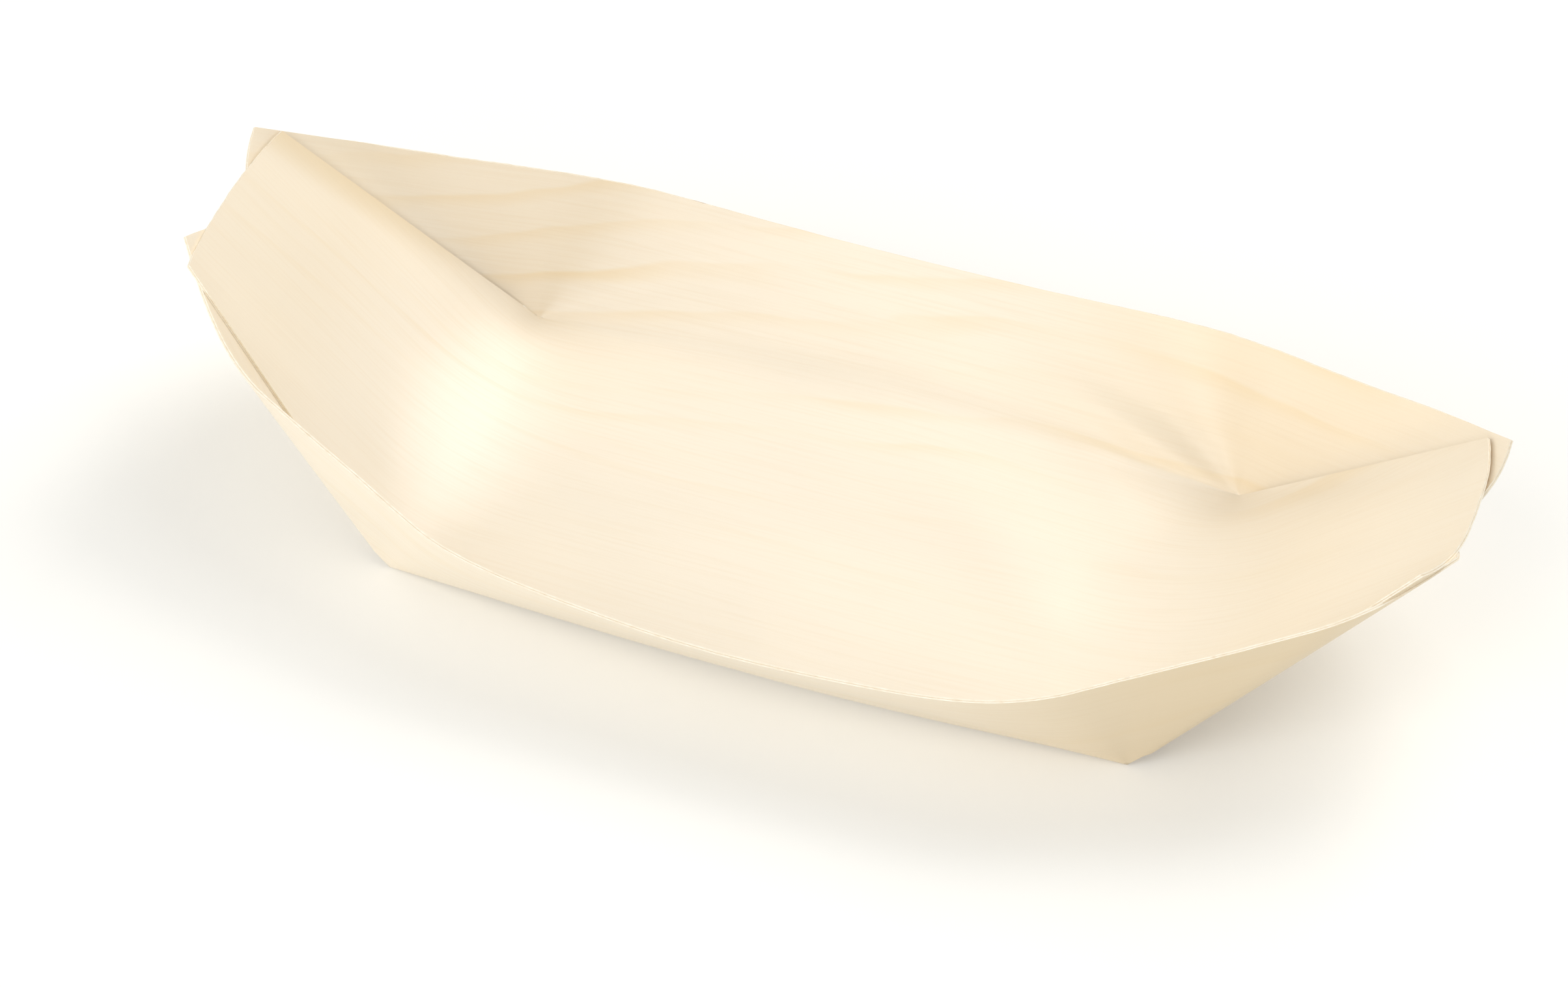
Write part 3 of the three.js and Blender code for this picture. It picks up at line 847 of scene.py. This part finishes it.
# Its outline: how far it is drawn in, and lobes as count, share, turn per metre along the boat and turn
FILM_INSET = 0.08
FILM_LOBES = ((3, 0.05, 90, 0), (7, 0.03, 0, 1.3))


def film_place(fold, end, node, lap_steps):
    """Middle and radius of a film of glue, a number of lap steps outside the plane of its tab."""
    low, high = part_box(node)
    middle = np.array((low + high) / 2)
    inward = end.tab * (end.side, 1, 1)
    height = (middle - fold.slit_end * (end.side, 0, 1)) @ inward
    return Vector(middle - inward * (height + lap_steps * fold.lap_step)), (high.y - low.y) / 2


def glue_film(name, middle, radius, thickness, rise, material):
    """A pressed film of glue with an uneven outline, lying in the slope of the tab."""
    rounds = np.linspace(0, 2 * math.pi, FILM_POINTS, endpoint=False)
    outline = 1 - FILM_INSET
    for lobes, share, turn_along, turn in FILM_LOBES:
        outline = outline + share * np.sin(lobes * rounds + middle.x * turn_along + turn)
    points = [(0, 0, -thickness / 2), (0, 0, thickness / 2)]
    rings = []
    for share, height in FILM_PROFILE:
        rings.append(len(points))
        across = radius * share * outline
        heights = np.full(FILM_POINTS, height * thickness)
        points += zip(across * np.cos(rounds), across * np.sin(rounds), heights)
    faces = []
    for step in range(FILM_POINTS):
        after = (step + 1) % FILM_POINTS
        faces.append((0, rings[0] + after, rings[0] + step))
        faces.append((1, rings[-1] + step, rings[-1] + after))
        for below, above in zip(rings, rings[1:]):
            faces.append((below + step, below + after, above + after, above + step))
    mesh = bpy.data.meshes.new(name)
    mesh.from_pydata([tuple(map(float, point)) for point in points], [], faces)
    turn = Euler((0, -math.copysign(rise, middle.x), 0)).to_matrix().to_4x4()
    turn.translation = middle
    mesh.transform(turn)
    mesh.materials.append(material)
    return finished(name, mesh)


# Stage

# Where each softbox stands, and the width of all of them
SOFTBOXES = {
    "back": (0.45, 0.97, 1.0),
    "top": (0.2, 0.7, 1.3),
    "left": (-1.0, -0.9, 0.35),
    "front": (0.1, -1.3, 0.4),
    "high": (-0.3, -1.0, 1.1),
}
SOFTBOX_WIDTH = 0.8
FLOOR_SIZE = 6
FLOOR_DROP = 0.1 * MM
FLOOR_ROUGHNESS = 0.9
SENSOR_WIDTH = 36
NEAREST_SEEN = 0.01
WHITE = (1, 1, 1, 1)


def seen_directly(tree):
    """1 for rays from the camera, and for those by way of gloss or glass."""
    light_path = add_node(tree, "ShaderNodeLightPath").outputs
    shown = maths(tree, "MAXIMUM", light_path["Is Camera Ray"], light_path["Is Glossy Ray"])
    return maths(tree, "MAXIMUM", shown, light_path["Is Transmission Ray"])


def add_floor(setup):
    half = FLOOR_SIZE / 2
    corners = [(x * half, y * half, -FLOOR_DROP) for x, y in ((-1, -1), (1, -1), (1, 1), (-1, 1))]
    mesh = bpy.data.meshes.new("floor")
    mesh.from_pydata(corners, [], [(0, 1, 2, 3)])
    floor = bpy.data.objects.new("floor", mesh)
    bpy.context.scene.collection.objects.link(floor)
    material, tree, surface = new_material("pale_floor")
    surface.inputs["Base Color"].default_value = setup.floor
    surface.inputs["Roughness"].default_value = FLOOR_ROUGHNESS
    surface.inputs["Specular IOR Level"].default_value = 0
    lift = maths(tree, "MULTIPLY", seen_directly(tree), setup.floor_lift)
    glow = add_node(tree, "ShaderNodeEmission", {"Color": WHITE, "Strength": lift})
    both = add_node(tree, "ShaderNodeAddShader", {0: surface.outputs[0], 1: glow.outputs[0]})
    tree.links.new(both.outputs[0], tree.nodes["Material Output"].inputs["Surface"])
    mesh.materials.append(material)


def add_surroundings(scene, setup):
    world = bpy.data.worlds.new("surroundings")
    world.use_nodes = True
    tree = world.node_tree
    strength = ranged(tree, seen_directly(tree), 0, 1, setup.sky, 1)
    background = tree.nodes["Background"]
    background.inputs["Color"].default_value = WHITE
    tree.links.new(strength, background.inputs["Strength"])
    scene.world = world
    scene.view_settings.view_transform = "Standard"


def add_softbox(name, place, power):
    lamp = bpy.data.lights.new(name, "AREA")
    lamp.shape = "DISK"
    lamp.size = SOFTBOX_WIDTH
    lamp.energy = power
    softbox = bpy.data.objects.new(name, lamp)
    softbox.location = place
    softbox.rotation_euler = Vector(place).to_track_quat("Z", "Y").to_euler()
    bpy.context.scene.collection.objects.link(softbox)


def add_camera(scene, setup):
    camera = bpy.data.cameras.new("camera")
    camera.lens = setup.lens
    camera.sensor_width = SENSOR_WIDTH
    camera.clip_start = NEAREST_SEEN
    stand = bpy.data.objects.new("camera", camera)
    stand.location = setup.camera_place
    stand.rotation_euler = setup.camera_turn
    scene.collection.objects.link(stand)
    scene.camera = stand


# Operators

class BOAT_OT_veneers(bpy.types.Operator):
    """Fold the inner and the outer veneer"""

    bl_idname = "boat.veneers"
    bl_label = "Veneers"

    def execute(self, context):
        blank, colours = context.scene.boat_blank, context.scene.boat_colours
        near = blank.paper / 2 + blank.ply_gap
        far = near + blank.veneer
        edge = cut_edge_material(colours)
        inside = veneer_material("inner_wood", colours, "inside_yellow", INSIDE_SHIFT)
        outside = veneer_material("outer_wood", colours, "outside_yellow", OUTSIDE_SHIFT)
        add_ply(context, "inner_veneer_face", "inner_veneer", (near, far), inside, edge)
        add_ply(context, "outer_veneer_face", "outer_veneer", (-far, -near), outside, edge)
        return {"FINISHED"}


class BOAT_OT_paper(bpy.types.Operator):
    """Fold the paper core between the veneers"""

    bl_idname = "boat.paper"
    bl_label = "Paper core"

    def execute(self, context):
        half = context.scene.boat_blank.paper / 2
        paper = paper_material(context.scene.boat_colours)
        add_ply(context, "paper_layer", "paper_core", (-half, half), paper, paper)
        return {"FINISHED"}


class BOAT_OT_glue(bpy.types.Operator):
    """Press the films of glue between the laps"""

    bl_idname = "boat.glue"
    bl_label = "Lap glue"

    def execute(self, context):
        scene = context.scene
        fold = Fold(scene.boat_blank, scene.boat_fold)
        material = glue_material(scene.boat_colours)
        for end in fold.ends:
            for lap, steps in LAPS.items():
                node = f"{'left' if end.side < 0 else 'right'}_{lap}_lap_glue"
                middle, radius = film_place(fold, end, node, steps)
                film = glue_film(node + "_film", middle, radius, fold.glue, end.rise, material)
                stand_in(film, node)
        return {"FINISHED"}


class BOAT_OT_stage(bpy.types.Operator):
    """Set the floor, the lamps, the surroundings and the camera"""

    bl_idname = "boat.stage"
    bl_label = "Stage"

    def execute(self, context):
        setup = context.scene.boat_stage
        add_floor(setup)
        add_surroundings(context.scene, setup)
        for name, place in SOFTBOXES.items():
            add_softbox(name + "_softbox", place, getattr(setup, name + "_power"))
        add_camera(context.scene, setup)
        return {"FINISHED"}


# Panel and registration

class BOAT_PT_panel(bpy.types.Panel):
    """The boat's pieces and sizes"""

    bl_idname = "BOAT_PT_panel"
    bl_label = "Snack boat"
    bl_space_type = "VIEW_3D"
    bl_region_type = "UI"
    bl_category = "Snack boat"

    def draw(self, context):
        for operator in OPERATORS:
            self.layout.operator(operator.bl_idname)
        for name in GROUPS:
            group = getattr(context.scene, name)
            box = self.layout.box()
            for prop in type(group).__annotations__:
                box.prop(group, prop)


GROUPS = {
    "boat_blank": BlankSizes,
    "boat_fold": FoldAngles,
    "boat_colours": BoatColours,
    "boat_stage": StageSetup,
}
OPERATORS = (BOAT_OT_veneers, BOAT_OT_paper, BOAT_OT_glue, BOAT_OT_stage)
CLASSES = (*GROUPS.values(), *OPERATORS, BOAT_PT_panel)


def register():
    for each in CLASSES:
        bpy.utils.register_class(each)
    for name, group in GROUPS.items():
        setattr(bpy.types.Scene, name, bpy.props.PointerProperty(type=group))


def unregister():
    for name in GROUPS:
        delattr(bpy.types.Scene, name)
    for each in reversed(CLASSES):
        bpy.utils.unregister_class(each)


def main():
    register()
    bpy.ops.boat.veneers()
    bpy.ops.boat.paper()
    bpy.ops.boat.glue()
    bpy.ops.boat.stage()


if __name__ == "__main__":
    main()
